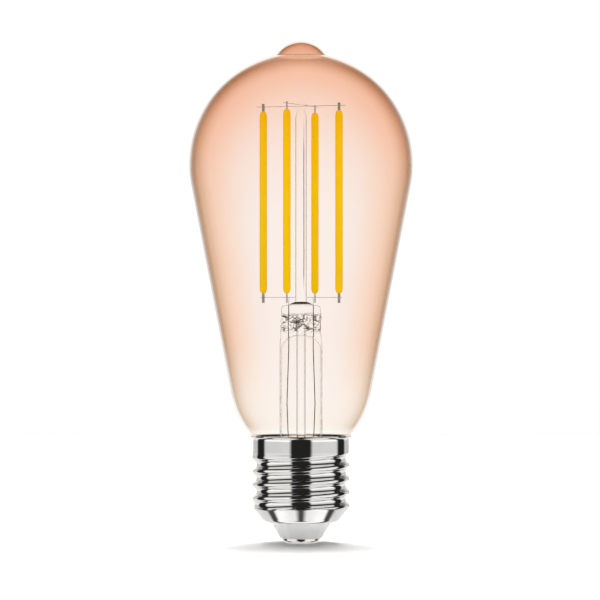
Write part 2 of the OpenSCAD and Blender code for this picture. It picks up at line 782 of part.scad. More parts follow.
// Bare neutral wire, from the board over the insulator's rim and down between it and the shell
neutral_d = 0.44;
neutral_lay = seat_inner_r(z_seat + 1.5) - neutral_d / 2;
function neutral_route() =
    let (rim_y = insulator_rim_r - neutral_d / 2, over_z = z_insulator_top + neutral_d / 2 + 0.1)
    let (knee_z = z_seat + (rim_y - neutral_lay) / seat_slope + 1.5)
    rounded([
        [0, board_face, over_z], [0, rim_y, over_z], [0, rim_y, knee_z], [0, neutral_lay, z_seat + 1.5]
    ], 0.35, 3);

module neutral_wire() {
    color("silver") wire(neutral_route(), neutral_d, [1, 0, 0], 8);
}

// Thin insulating sleeve between the driver and the shell
module driver_sleeve() {
    sleeve_r = insulator_rim_r - 0.1;
    bottom_z = z_insulator_top + neutral_d + 0.4;
    color("ivory") difference() {
        translate([0, 0, bottom_z]) cylinder(r = sleeve_r, h = z_neck_end - 0.3 - bottom_z);
        cylinder(r = sleeve_r - 0.3, h = z_neck_end);
    }
}

centre_contact();
insulator();
screw_shell();
basing_cement();
glass_bulb();
stem_flare();
exhaust_tube();
stem_rod();
for (n = [0, 1]) {
    side = [-1, 1][n];
    outer_lead(side);
    seal_wire(side);
    inner_lead(side);
    bottom_wire([1, 4][n]);
}
top_wire_front();
top_wire_side();
for (i = FILAMENTS) {
    filament_phosphor(i);
    filament_substrate(i);
    filament_chips(i);
    filament_tabs(i);
}
driver_board();
capacitor_can();
capacitor_sleeve();
capacitor_bung();
capacitor_leads();
choke_core();
choke_winding();
choke_leads();
bridge_rectifier();
dimmer_chip();
switch_transistor();
chip_legs();
chip_resistors();
fuse_resistor();
solder_joints();
live_wire();
fuse_lead();
neutral_wire();
driver_sleeve();
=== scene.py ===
import json
import math

import bmesh
import bpy
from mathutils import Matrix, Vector, noise


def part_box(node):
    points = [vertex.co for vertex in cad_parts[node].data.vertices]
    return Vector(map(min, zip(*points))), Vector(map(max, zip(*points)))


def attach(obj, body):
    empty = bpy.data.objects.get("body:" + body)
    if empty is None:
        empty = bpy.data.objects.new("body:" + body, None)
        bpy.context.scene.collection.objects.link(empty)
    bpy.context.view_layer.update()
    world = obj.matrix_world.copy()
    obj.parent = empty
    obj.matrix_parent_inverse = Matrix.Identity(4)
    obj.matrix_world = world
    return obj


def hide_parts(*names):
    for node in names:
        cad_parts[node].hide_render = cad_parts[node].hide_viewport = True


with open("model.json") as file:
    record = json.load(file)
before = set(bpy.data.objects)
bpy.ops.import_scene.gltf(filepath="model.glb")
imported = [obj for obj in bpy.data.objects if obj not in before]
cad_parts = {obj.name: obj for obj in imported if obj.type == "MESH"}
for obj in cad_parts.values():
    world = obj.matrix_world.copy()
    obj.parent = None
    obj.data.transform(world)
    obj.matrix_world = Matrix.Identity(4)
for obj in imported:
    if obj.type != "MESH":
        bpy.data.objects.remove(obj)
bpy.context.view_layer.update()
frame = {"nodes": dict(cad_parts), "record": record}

# A dimmable LED filament lamp that stands on its centre contact: nickel-bright screw cap,
# amber blown bulb, pressed glass stem, and a cage of four yellow filaments.
# Outlines and sizes are in millimetres, and meshes are made in metres.
MM = 0.001
TAU = 2 * math.pi

# Vector noise takes its offsets from this seed, and from the clock without one
NOISE_SEED = 1
noise.seed_set(NOISE_SEED)


def corners(node):
    """Lowest and highest corner of a CAD node, in millimetres."""
    low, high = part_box(node)
    return low / MM, high / MM


# ---------------------------------------------------------------- sizes

shell_low, shell_high = corners("screw_shell")
bulb_low, bulb_high = corners("glass_bulb")
insulator_low, insulator_high = corners("insulator")
cement_low, cement_high = corners("basing_cement")
tube_low, tube_high = corners("exhaust_tube")
contact_high = corners("centre_contact")[1]

# Centre contact: a shallow dimple, a wide turned-up edge, and a hollow shank
DIMPLE_DEPTH = 0.06
DIMPLE_R = 1.6
CONTACT_EDGE_W = 1.9
CONTACT_EDGE_H = 0.95
SHANK_R = 1.6
SHANK_WALL = 0.5
SHANK_FLOOR = 1.5

# Screw cap
CREST_R = 13.15
THREAD_DEPTH = 1.1
PITCH = 3.62
TURNS = 4
SHEET = 0.35
SEAT_R = 9.1
SEAT_HOLE_R = 8.1
LIP_R = shell_high.x
SKIRT_R = CREST_R - 0.2
SKIRT_STEP_H = 1.5
SEAT_Z = shell_low.z
SEAT_TOP_Z = insulator_high.z
FIRST_CREST_Z = SEAT_TOP_Z + 0.25
THREAD_TOP_Z = FIRST_CREST_Z + TURNS * PITCH
CAP_TOP_Z = shell_high.z
# Turns of the thread, in degrees along it, over which it deepens and fades out
RUN_IN_START, RUN_IN = -240, 120
RUN_OUT_END, RUN_OUT = 360 * (TURNS - 1) + 150, 90

# The seat is a cone that curves in to its rolled lower edge
SEAT_CURVE_R = 3
SEAT_RIM_R = 9.3
SEAT_RIM_TURN = math.radians(70)
SEAT_TURN = math.radians(38)
SEAT_CURVE_C = Vector((
    SEAT_RIM_R - SEAT_CURVE_R * math.cos(SEAT_RIM_TURN), SEAT_Z + SEAT_CURVE_R * math.sin(SEAT_RIM_TURN)))
SEAT_BLEND = 0.25

# Insulator
INSULATOR_WALL = 1.4
INSULATOR_FOOT_R = 5.7
WAIST_R = 8.05

# Bulb. Its wall is thinner than the CAD wall, so that its edge looks as fine as blown glass does.
CAD_WALL = 0.8
BLOWN_WALL = 0.4
BULB_R = bulb_high.x
LAMP_TOP_Z = bulb_high.z
NIPPLE_RISE = 3.1
NIPPLE_R = 7.75
BLEND_R = 1.2
DOME_Z = LAMP_TOP_Z - NIPPLE_RISE - BULB_R
NIPPLE_Z = LAMP_TOP_Z - NIPPLE_R
SHOULDER_R = 23
SHOULDER_TURN = math.radians(31.7)
NECK_R = 11.6
NECK_END_Z = bulb_low.z
MOUTH = Vector((SKIRT_R - SHEET + 0.4, CAP_TOP_Z + 0.05))
LUSTRE_FADE_H = 3

# Stem
FLARE_R = 5.75
FLARE_WALL = 0.3
TRUMPET_R = 9
PRESS_HALF_W = 5.35
PRESS_HALF_T = 2.5
PRESS_TOP_Z = corners("stem_flare")[1].z
PRESS_H = 8.4
PRESS_END_Z = PRESS_TOP_Z - PRESS_H
FLARE_TOP_Z = PRESS_END_Z - 4.1
CAVITY_TOP_Z = PRESS_END_Z - 0.4
CREASE_Z = PRESS_TOP_Z - 5.6
CREASE_H = 1.9
ROD_R = 1.53
ROD_TOP_Z = corners("stem_rod")[1].z
EXHAUST_R = 1.2
EXHAUST_BORE_R = 1.14

# Leads, and the cage of filaments
WIRE_R = 0.175
DRAWN_R = 0.075
LEAD_R = 0.12
LEAD_X = 3.28
LEAD_BEND_R = 3
CAGE_R = 10.85
CAGE_TURN = math.radians(-21.8)
WIRE_REACH = CAGE_R + 1.9
BOTTOM_WIRE_REACH = CAGE_R + 1
TOP_WIRE_Z = corners("top_wire_side")[0].z + WIRE_R
BOTTOM_WIRE_Z = corners("bottom_wire_left")[0].z + WIRE_R
COAT_R = 1.0
COAT_END_L = 1.8 * COAT_R
FILAMENT_ANGLE = {i: CAGE_TURN + math.pi / 2 * quarter for i, quarter in ((1, 2), (2, 3), (3, 1), (4, 0))}


# ---------------------------------------------------------------- shader nodes

# Colour sockets of a Mix node, which share their names with its other sockets
MIX_A, MIX_B, MIXED = 6, 7, 2


def srgb(hex_colour):
    """Linear colour of an sRGB hex value."""
    channels = [int(hex_colour[i:i + 2], 16) / 255 for i in (0, 2, 4)]
    return [c / 12.92 if c <= 0.04045 else ((c + 0.055) / 1.055) ** 2.4 for c in channels] + [1.0]


def grey(value):
    """A linear brightness as a colour, over 1 for a light."""
    return [value, value, value, 1.0]


def tones(*stops):
    """Stops of a ramp from pairs of a position and an sRGB hex value."""
    return [(position, srgb(colour)) for position, colour in stops]


def add(tree, kind, settings=None, links=None, feeds=None):
    """A new node with its settings and links.

    Settings go by attribute or input name, and stops are the positions and colours of a ramp. Links join
    inputs to other nodes' outputs, and feeds join outputs to other nodes' inputs.
    """
    node = tree.nodes.new("ShaderNode" + kind)
    for name, value in (settings or {}).items():
        if name == "stops":
            elements = node.color_ramp.elements
            while len(elements) < len(value):
                elements.new(0.5)
            for element, (position, colour) in zip(elements, value):
                element.position = position
                element.color = colour
        elif isinstance(name, str) and hasattr(node, name):
            setattr(node, name, value)
        else:
            node.inputs[name].default_value = value
    for name, (source, output) in (links or {}).items():
        tree.links.new(source.outputs[output], node.inputs[name])
    for output, (target, name) in (feeds or {}).items():
        tree.links.new(node.outputs[output], target.inputs[name])
    return node


def new_material(name, **shader):
    """A material of one Principled shader, its node tree and that shader."""
    material = bpy.data.materials.new(name)
    material.use_nodes = True
    tree = material.node_tree
    tree.nodes.clear()
    principled = add(tree, "BsdfPrincipled", shader)
    add(tree, "OutputMaterial", {}, {"Surface": (principled, "BSDF")})
    return material, tree, principled


def grain(tree, size_mm, detail=3.0, stretch=(1, 1, 1)):
    """Noise on Object coordinates, in spots of size_mm that are stretched along the axes."""
    where = add(tree, "TexCoord")
    scale = [1 / (size_mm * MM * s) for s in stretch]
    placed = add(tree, "Mapping", {"Scale": scale}, {"Vector": (where, "Object")})
    return add(tree, "TexNoise", {"Scale": 1.0, "Detail": detail}, {"Vector": (placed, "Vector")})


def object_place(tree):
    """The place on a piece, split into X, Y and Z, in metres."""
    where = add(tree, "TexCoord")
    return add(tree, "SeparateXYZ", {}, {"Vector": (where, "Object")})


# ---------------------------------------------------------------- materials

def mottled(name, dark, light, size_mm, rough, bump_mm, stretch=(1, 1, 1), **shader):
    """A material whose colour and gloss drift over spots of size_mm, with a finer bumpy grain."""
    material, tree, principled = new_material(name, **shader)
    spots = grain(tree, size_mm, 4.0, stretch)
    add(tree, "ValToRGB", {"stops": tones((0.35, dark), (0.65, light))}, {"Fac": (spots, "Fac")},
        {"Color": (principled, "Base Color")})
    add(tree, "MapRange", {"To Min": rough[0], "To Max": rough[1]}, {"Value": (spots, "Fac")},
        {"Result": (principled, "Roughness")})
    fine = grain(tree, size_mm / 4, 2.0, stretch)
    add(tree, "Bump", {"Strength": 1.0, "Distance": bump_mm * MM}, {"Height": (fine, "Fac")},
        {"Normal": (principled, "Normal")})
    return material


def plated_metal(name, shade, light, rough, line_mm):
    # Nickel plating over rolled or stamped sheet: a near mirror, slightly cloudy, with faint lines round it
    material, tree, principled = new_material(name, Metallic=1.0)
    cloud = grain(tree, 4, 3.0)
    add(tree, "ValToRGB", {"stops": tones((0.3, shade), (0.7, light))}, {"Fac": (cloud, "Fac")},
        {"Color": (principled, "Base Color")})
    add(tree, "MapRange", {"To Min": rough[0], "To Max": rough[1]}, {"Value": (cloud, "Fac")},
        {"Result": (principled, "Roughness")})
    lines = grain(tree, line_mm, 2.0, (30, 30, 1))
    add(tree, "Bump", {"Strength": 0.15, "Distance": 0.004 * MM}, {"Height": (lines, "Fac")},
        {"Normal": (principled, "Normal")})
    return material


# The lustre's colours from where it is seen square on (0) to its grazing edge (1), in four tints: the foot of
# the bulb, its middle, its dome and its nipple
LUSTRE_TINTS = (
    tones((0.0, "fcf4ef"), (0.25, "fbf2e9"), (0.35, "faefe6"), (0.45, "f6ebe1"), (0.55, "ecdccb"),
          (0.65, "e2cdb7"), (0.75, "ccb396"), (0.9, "b8a184")),
    tones((0.0, "fbf1ea"), (0.15, "f9eae2"), (0.25, "f9e1d2"), (0.35, "f9d9c6"), (0.45, "f6d0ba"),
          (0.55, "e8c0a4"), (0.65, "d0a684"), (0.75, "a4744f"), (0.9, "8a5c3a")),
    tones((0.0, "fbe3d6"), (0.15, "f9d8c7"), (0.25, "f8cfb9"), (0.35, "f8c5ac"), (0.45, "f6c3a7"),
          (0.55, "e4a788"), (0.65, "c38761"), (0.75, "945c38"), (0.9, "7c4a28")),
    tones((0.0, "f2b899"), (0.3, "ecae8e"), (0.5, "dc9a78"), (0.65, "b57850"), (0.8, "8a5636")),
)
# Heights in millimetres between which each of them turns into the next one
LUSTRE_CHANGES = ((30, 58), (84, 118), (129.5, 131.5))


def amber_glass():
    # Blown soda-lime glass with an amber lustre fired on its inside: the outer skin stays clear, and the
    # lustre is pale where it is looked through square on, brown towards the edges, and deeper up to the tip.
    material, tree, principled = new_material(
        "Blown glass with fired amber lustre", **{"Transmission Weight": 1.0, "IOR": 1.06, "Roughness": 0.0})
    edge = add(tree, "LayerWeight", {"Blend": 0.5})
    height = object_place(tree)
    tints = [add(tree, "ValToRGB", {"stops": stops}, {"Fac": (edge, "Facing")}) for stops in LUSTRE_TINTS]
    colour = (tints[0], "Color")
    for tint, (foot, head) in zip(tints[1:], LUSTRE_CHANGES):
        share = add(
            tree, "MapRange",
            {"interpolation_type": "SMOOTHSTEP", "From Min": foot * MM, "From Max": head * MM},
            {"Value": (height, "Z")})
        blend = add(tree, "Mix", {"data_type": "RGBA"},
                    {"Factor": (share, "Result"), MIX_A: colour, MIX_B: (tint, "Color")})
        colour = (blend, MIXED)
    skin = add(tree, "ValToRGB", {"stops": tones((0.0, "ffffff"), (0.7, "fffdfa"), (1.0, "fbeee4"))},
               {"Fac": (edge, "Facing")})
    inside = add(tree, "Attribute", {"attribute_name": "lustre"})
    add(tree, "Mix", {"data_type": "RGBA"},
        {"Factor": (inside, "Fac"), MIX_A: (skin, "Color"), MIX_B: colour},
        {MIXED: (principled, "Base Color")})
    waves = grain(tree, 18, 1.0, (1, 1, 2))
    add(tree, "Bump", {"Strength": 0.3, "Distance": 0.05 * MM}, {"Height": (waves, "Fac")},
        {"Normal": (principled, "Normal")})
    return material


def stem_glass(name, edge_shade_start, edge_shade_colour, worked=None):
    # Flame-worked clear glass: nearly invisible square on, with thin grey lines of painted shade where its
    # edges curve away
    material, tree, principled = new_material(
        name, **{"Transmission Weight": 1.0, "IOR": 1.04, "Roughness": 0.0})
    edge = add(tree, "LayerWeight", {"Blend": 0.5})
    lines = add(tree, "ValToRGB",
                {"stops": tones((0.0, "ffffff"), (edge_shade_start, "fdfcfa"), (1.0, edge_shade_colour))},
                {"Fac": (edge, "Facing")}, {"Color": (principled, "Base Color")})
    if worked:
        worked(tree, principled, lines)
    return material


FOLD_SIZE = 3.6
# Painted shade: dark lines along the folds, standing in for the dark that the folds refract
FOLD_SHADE_STOPS = tones((0.40, "ffffff"), (0.44, "37332e"), (0.465, "4a453f"), (0.49, "fbfaf8"), (0.56, "ffffff"),
                   (0.59, "6a645c"), (0.62, "ffffff"))
FOLD_LOW_Z = CAVITY_TOP_Z
FOLD_HIGH_Z = PRESS_TOP_Z - 2.6
# The dark joint is a thin layer at the top of the press, where the rod was melted on
JOINT_FADE_Z = PRESS_TOP_Z - 0.8
JOINT_Z = PRESS_TOP_Z - 0.6


def pressed_folds_and_shade(tree, principled, lines):
    """Folds in glass that was pinched while soft, painted shade along the folds and round the solid press's
    edges, and the dark joint of the rod.
    """
    edge = add(tree, "LayerWeight", {"Blend": 0.5})
    height = object_place(tree)
    folds = grain(tree, FOLD_SIZE, 2.2, (1, 1, 0.6))
    # Painted shade along the folds
    fold_shade = add(tree, "ValToRGB", {"stops": FOLD_SHADE_STOPS}, {"Fac": (folds, "Fac")})
    zone = add(tree, "MapRange", {"From Min": FOLD_LOW_Z * MM, "From Max": FOLD_HIGH_Z * MM,
                                  "To Min": -1.0, "To Max": 1.0}, {"Value": (height, "Z")})
    away = add(tree, "Math", {"operation": "ABSOLUTE"}, {0: (zone, "Result")})
    share = add(tree, "MapRange", {"interpolation_type": "SMOOTHSTEP", "From Min": 1.0, "From Max": 0.55},
                {"Value": (away, 0)})
    fold_shaded = add(tree, "Mix", {"data_type": "RGBA", MIX_A: grey(1.0)},
                 {"Factor": (share, "Result"), MIX_B: (fold_shade, "Color")})
    joint = add(tree, "MapRange", {"From Min": JOINT_FADE_Z * MM, "From Max": JOINT_Z * MM},
                {"Value": (height, "Z")})
    topped = add(tree, "Mix", {"data_type": "RGBA", MIX_B: srgb("2c2c2b")},
                 {"Factor": (joint, "Result"), MIX_A: (fold_shaded, MIXED)})
    # Painted shade round the edges of the solid press
    press_edge_shade = add(tree, "ValToRGB", {"stops": tones((0.0, "ffffff"), (0.5, "fdfcfa"), (0.8, "4a443e"))},
                {"Fac": (edge, "Facing")})
    solid = add(tree, "MapRange", {"From Min": (PRESS_END_Z - 1) * MM, "From Max": (PRESS_END_Z + 2) * MM},
                {"Value": (height, "Z")})
    outline = add(tree, "Mix", {"data_type": "RGBA"},
                  {"Factor": (solid, "Result"), MIX_A: (lines, "Color"), MIX_B: (press_edge_shade, "Color")})
    add(tree, "Bump", {"Strength": 0.6, "Distance": 0.6 * MM}, {"Height": (folds, "Fac")},
        {"Normal": (principled, "Normal")})
    add(tree, "Mix", {"data_type": "RGBA", "blend_type": "MULTIPLY", "Factor": 1.0},
        {MIX_A: (outline, MIXED), MIX_B: (topped, MIXED)}, {MIXED: (principled, "Base Color")})


AIRLINE_ANGLE = math.radians(30)    # from the front
AIRLINE_EDGE, AIRLINE_CORE = 0.12, 0.06    # half widths in radians
AIRLINE_WANDER = 0.06
AIRLINE_FOOT = BOTTOM_WIRE_Z + 1.5, BOTTOM_WIRE_Z + 6
AIRLINE_HEAD = TOP_WIRE_Z - 2, TOP_WIRE_Z - 12


def airline(tree, principled, lines):
    """A bubble drawn out into a fine dark thread along one side of a cane, under its clear melted end."""
    spot = object_place(tree)
    front = add(tree, "Math", {"operation": "MULTIPLY", 1: -1.0}, {0: (spot, "Y")})
    angle = add(tree, "Math", {"operation": "ARCTAN2"}, {0: (spot, "X"), 1: (front, 0)})
    wander = add(tree, "MapRange", {"To Min": -AIRLINE_WANDER, "To Max": AIRLINE_WANDER},
                 {"Value": (grain(tree, 12, 2.0), "Fac")})
    offset = add(tree, "Math", {"operation": "ADD"}, {0: (angle, 0), 1: (wander, "Result")})
    across = add(tree, "Math", {"operation": "SUBTRACT", 1: AIRLINE_ANGLE}, {0: (offset, 0)})
    away = add(tree, "Math", {"operation": "ABSOLUTE"}, {0: (across, 0)})
    thread = add(tree, "MapRange", {"From Min": AIRLINE_EDGE, "From Max": AIRLINE_CORE}, {"Value": (away, 0)})
    foot, head = [
        add(tree, "MapRange", {"From Min": outer * MM, "From Max": inner * MM}, {"Value": (spot, "Z")})
        for outer, inner in (AIRLINE_FOOT, AIRLINE_HEAD)]
    ends = add(tree, "Math", {"operation": "MULTIPLY"}, {0: (foot, "Result"), 1: (head, "Result")})
    inside = add(tree, "Math", {"operation": "MULTIPLY"}, {0: (thread, "Result"), 1: (ends, 0)})
    drawn = add(tree, "Mix", {"data_type": "RGBA", MIX_B: srgb("3c3733")},
                {"Factor": (inside, 0), MIX_A: (lines, "Color")})
    sealed = add(tree, "MapRange", {"From Min": (TOP_WIRE_Z - 4) * MM, "From Max": TOP_WIRE_Z * MM},
                 {"Value": (spot, "Z")})
    add(tree, "Mix", {"data_type": "RGBA", MIX_B: srgb("fdfcfb")},
        {"Factor": (sealed, "Result"), MIX_A: (drawn, MIXED)}, {MIXED: (principled, "Base Color")})


def phosphor():
    # Moulded silicone loaded with phosphor powder: a satin, saturated yellow that turns orange at its edges
    # and is finely gritty, with a faint painted glow for its fluorescence in white light, which shines
    # without any lamp.
    material, tree, principled = new_material("Phosphor-loaded silicone", **{
        "IOR": 1.43, "Specular IOR Level": 0.1, "Emission Color": srgb("ffce00"), "Emission Strength": 0.1})
    cloud = grain(tree, 2.5, 3.0, (1, 1, 2))
    edge = add(tree, "LayerWeight", {"Blend": 0.35})
    body = add(tree, "ValToRGB", {"stops": tones((0.3, "f2ce00"), (0.7, "f8d400"))}, {"Fac": (cloud, "Fac")})
    add(tree, "Mix", {"data_type": "RGBA", MIX_B: srgb("f0b400")},
        {"Factor": (edge, "Facing"), MIX_A: (body, "Color")}, {MIXED: (principled, "Base Color")})
    powder = grain(tree, 0.25, 2.0)
    add(tree, "MapRange", {"To Min": 0.38, "To Max": 0.55}, {"Value": (powder, "Fac")},
        {"Result": (principled, "Roughness")})
    add(tree, "Bump", {"Strength": 0.4, "Distance": 0.02 * MM}, {"Height": (powder, "Fac")},
        {"Normal": (principled, "Normal")})
    return material


MATERIALS = {
    # A clean mirror, broken only by faint rolling lines
    "nickel_plate": plated_metal("Nickel-plated rolled steel", "eceae7", "f3f2f0", (0.03, 0.08), 0.25),
    # The same plating, a little yellower and duller where it was stamped
    "contact_metal": plated_metal("Nickel-plated stamped contact", "e4e3df", "efeeea", (0.06, 0.16), 0.3),
    # An even, nearly white satin
    "insulator_resin": mottled("Moulded insulating resin", "eeeeec", "f4f4f2", 3, (0.3, 0.42), 0.01),
    # Chalky, cream and crumbly
    "cement": mottled("Baked basing cement", "ddd6c6", "f0ebde", 0.8, (0.8, 0.95), 0.08),
    "amber_glass": amber_glass(),
    # Painted shade at its curved edges, along its folds and round its solid press
    "clear_glass": stem_glass("Pressed clear stem glass", 0.6, "6b655d", pressed_folds_and_shade),
    # A pale soft sheen without glints, streaked along the draw
    "nickel_wire": mottled(
        "Drawn nickel wire", "e6e2dd", "f4f0ec", 0.8, (0.55, 0.7), 0.004, (1, 1, 6), Metallic=1.0),
    # A dull brown from the flame, streaked along the wire
    "copper_wire": mottled(
        "Oxidised copper-clad wire", "4e4038", "6e5a4e", 1.5, (0.45, 0.6), 0.006, (1, 1, 6), Metallic=1.0),
    "phosphor_silicone": phosphor(),
    # Off-white, matt and fine-grained
    "ceramic": mottled("Pressed alumina strip", "e4e1d8", "f2f0ea", 0.4, (0.55, 0.7), 0.01),
    # Small glossy faces that shift from blue to violet-grey
    "light_chip": mottled("Polished semiconductor chip", "4a5a8c", "7f8cb8", 0.15, (0.1, 0.25), 0.004),
    # Mid grey with soft glints
    "tab_metal": mottled(
        "Stamped plated steel tab", "8f8c88", "b5b2ae", 0.5, (0.25, 0.4), 0.006, Metallic=1.0),
    # A deep green half gloss, slightly wavy over the tracks
    "board_laminate": mottled("Solder mask on glass-epoxy", "1d5a34", "267044", 1.2, (0.25, 0.4), 0.015),
    # Soft silver with fine lines up its side from the draw
    "can_aluminium": mottled(
        "Drawn aluminium can", "c4c4c6", "d8d8da", 0.8, (0.25, 0.4), 0.006, (1, 1, 8), Metallic=1.0),
    # Blue-black, shiny and slightly rippled from shrinking
    "capacitor_film": mottled("Heat-shrunk film sleeve", "161b2c", "1f2740", 1.2, (0.2, 0.35), 0.02),
    # A dead black without gloss
    "black_rubber": mottled("Moulded rubber seal", "161616", "222222", 0.5, (0.7, 0.85), 0.02),
    # Charcoal with a fine sandy grain
    "ferrite": mottled("Sintered ferrite", "232326", "35353a", 0.15, (0.6, 0.8), 0.02),
    # Lacquered orange-brown, with each turn of wire a fine ridge
    "enamelled_copper": mottled(
        "Enamelled copper winding", "8c4218", "c0662c", 0.3, (0.2, 0.3), 0.03, (20, 20, 1), Metallic=1.0),
    # A fine-grained, nearly matt black
    "chip_epoxy": mottled("Moulded black epoxy", "141416", "1e1e21", 0.2, (0.5, 0.7), 0.01),
    # Cool silver, uneven where the solder set
    "tinned_metal": mottled(
        "Tinned copper and solder", "b4b4b6", "d2d2d4", 0.5, (0.2, 0.4), 0.01, Metallic=1.0),
    # A glassy black
    "resistor_body": mottled("Glass-coated thick film", "121214", "202024", 0.2, (0.15, 0.3), 0.006),
    # Tan under a thin coat of lacquer
    "fuse_ceramic": mottled("Lacquered ceramic body", "b89a62", "d0b47c", 0.6, (0.3, 0.45), 0.01),
    # A soft-looking red with a dull sheen
    "wire_insulation": mottled("Silicone wire insulation", "9c1512", "b82320", 0.6, (0.4, 0.55), 0.01),
    # Smooth cream film with a soft gloss
    "sleeve_film": mottled("Insulating polyester film", "e2ddcc", "efebde", 1.0, (0.35, 0.5), 0.01),
}
# The tube and the cane take the same painted grey shade at their curved edges
THIN_GLASS = stem_glass("Drawn clear glass tube", 0.3, "554e47")
CANE_GLASS = stem_glass("Drawn clear glass cane with an airline", 0.3, "5a534c", airline)
# A lighter copy of the stamped tab metal for the two middle tabs, painted as lit, so that a small tab almost
# vanishes against a white room
PAINTED_LIT_TAB = mottled(
    "Stamped plated steel tab, painted lit", "e4dfda", "f2eeea", 0.5, (0.45, 0.6), 0.006, Metallic=1.0)
PAINTED_LIT_TAB_NODES = ("filament_2_tabs", "filament_3_tabs")
SLOT_OF = {row["node"]: row["material_slot"] for row in frame["record"]["subparts"]}


# ---------------------------------------------------------------- mesh helpers

SHARP = math.radians(38)
MERGE_M = 1e-7


def finish_piece(name, bm, node, sharp=SHARP, material=None):
    """Turns a bmesh into a smooth-shaded piece that stands for one CAD node."""
    for face in bm.faces:
        face.smooth = True
    for edge in bm.edges:
        edge.smooth = len(edge.link_faces) != 2 or edge.calc_face_angle(0) < sharp
    mesh = bpy.data.meshes.new(name)
    bm.to_mesh(mesh)
    bm.free()
    piece = bpy.data.objects.new(name, mesh)
    bpy.context.scene.collection.objects.link(piece)
    slot = SLOT_OF[node]
    mesh.materials.append(material or MATERIALS[slot])
    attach(piece, "root")
    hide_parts(node)
    return piece


def spun(outline, steps=160, closed=True):
    """A bmesh turned round the lamp's axis from (radius, height) pairs in millimetres."""
    bm = bmesh.new()
    verts = [bm.verts.new((r * MM, 0, z * MM)) for r, z in outline]
    edges = [bm.edges.new(pair) for pair in zip(verts, verts[1:])]
    if closed and (outline[0][0] > 0 or outline[-1][0] > 0):
        edges.append(bm.edges.new((verts[-1], verts[0])))
    bmesh.ops.spin(
        bm, geom=verts + edges, cent=(0, 0, 0), axis=(0, 0, 1), angle=TAU, steps=steps, use_merge=True)
    bmesh.ops.remove_doubles(bm, verts=bm.verts, dist=MERGE_M)
    bmesh.ops.recalc_face_normals(bm, faces=bm.faces)
    return bm


def arc(centre, r, start, end, n=12):
    """Points on an arc, with angles in radians."""
    turns = [start + (end - start) * i / n for i in range(n + 1)]
    return [(centre[0] + r * math.cos(a), centre[1] + r * math.sin(a)) for a in turns]


def rounded(points, r, n=5):
    """An outline with each inner corner turned into an arc of radius r, or less where its sides are short."""
    result = [points[0]]
    for before, here, after in zip(points, points[1:], points[2:]):
        p = Vector(here)
        a, b = Vector(before) - p, Vector(after) - p
        half = a.angle(b) / 2
        back = min(r / math.tan(half), 0.45 * a.length, 0.45 * b.length) if half > 0.01 else 0
        if half > 1.54 or back < 1e-4:
            result.append(here)
            continue
        start, end = p + a.normalized() * back, p + b.normalized() * back
        for i in range(n + 1):
            t = i / n
            q = (1 - t) ** 2 * start + 2 * t * (1 - t) * p + t * t * end
            result.append((q.x, q.y))
    result.append(points[-1])
    return result


def smooth_step(t):
    t = min(max(t, 0.0), 1.0)
    return t * t * (3 - 2 * t)


def polar(r, a, z):
    return (r * math.cos(a), r * math.sin(a), z)


# ---------------------------------------------------------------- cap

def contact_piece():
    r, head_z, top = contact_high.x, insulator_low.z, contact_high.z
    edge = r - CONTACT_EDGE_W
    outline = [(0, DIMPLE_DEPTH), (0.9, DIMPLE_DEPTH), (1.3, DIMPLE_DEPTH / 2), (DIMPLE_R, 0), (edge, 0)]
    outline += [(edge + CONTACT_EDGE_W * math.sin(a), CONTACT_EDGE_H * (1 - math.cos(a)))
                for a in [math.radians(d) for d in range(6, 91, 7)]]
    outline += [(r, head_z), (SHANK_R, head_z), (SHANK_R, top), (SHANK_R - SHANK_WALL, top)]
    outline += [(SHANK_R - SHANK_WALL, head_z + SHANK_FLOOR), (0, head_z + SHANK_FLOOR)]
    return finish_piece("centre_contact_stamped", spun(outline, 120), "centre_contact")


def insulator_piece():
    hole_r = SHANK_R + 0.02
    low = insulator_low.z
    floor_z = low + 1.6
    ledge_z = SEAT_Z + SHEET
    rim_r = insulator_high.x
    slope = (CREST_R - SEAT_R) / (SEAT_TOP_Z - SEAT_Z)
    cone_r = SEAT_R - SHEET * math.hypot(1, slope) - 0.5
    outer = rounded([
        (hole_r, low), (INSULATOR_FOOT_R - 0.1, low), (INSULATOR_FOOT_R + 0.1, low + 0.35),
        (WAIST_R, SEAT_Z - 0.1), (WAIST_R, ledge_z), (cone_r + slope * SHEET, ledge_z),
        (rim_r, SEAT_Z + (rim_r - cone_r) / slope), (rim_r, SEAT_TOP_Z),
        (rim_r - INSULATOR_WALL, SEAT_TOP_Z)], 0.15, 4)
    inner = [(WAIST_R - INSULATOR_WALL, ledge_z - 0.2), (INSULATOR_FOOT_R - 1.0, floor_z), (hole_r, floor_z)]
    return finish_piece("insulator_moulding", spun(outer + inner, 144), "insulator")


def thread_groove(share):
    """Depth of the thread, 0 on a crest and 1 at a root, over the pitch: a tight arc, then a wide one."""
    turn = 2 * math.atan(2 * THREAD_DEPTH / PITCH)
    both = PITCH / 2 / math.sin(turn)
    crest, root = 0.4 * both, 0.6 * both
    d = min(share, 1 - share) * PITCH
    if d < crest * math.sin(turn):
        return (crest - math.sqrt(crest * crest - d * d)) / THREAD_DEPTH
    d = PITCH / 2 - d
    return 1 - (root - math.sqrt(root * root - d * d)) / THREAD_DEPTH


def seat_radius(z):
    """Outer radius of the seat: the rolled curve, and the cone above it."""
    bend_z = SEAT_CURVE_C.y - SEAT_CURVE_R * math.sin(SEAT_TURN)
    if z > bend_z:
        return SEAT_CURVE_C.x + SEAT_CURVE_R * math.cos(SEAT_TURN) + (z - bend_z) * math.tan(SEAT_TURN)
    return SEAT_CURVE_C.x + math.sqrt(SEAT_CURVE_R ** 2 - (SEAT_CURVE_C.y - z) ** 2)


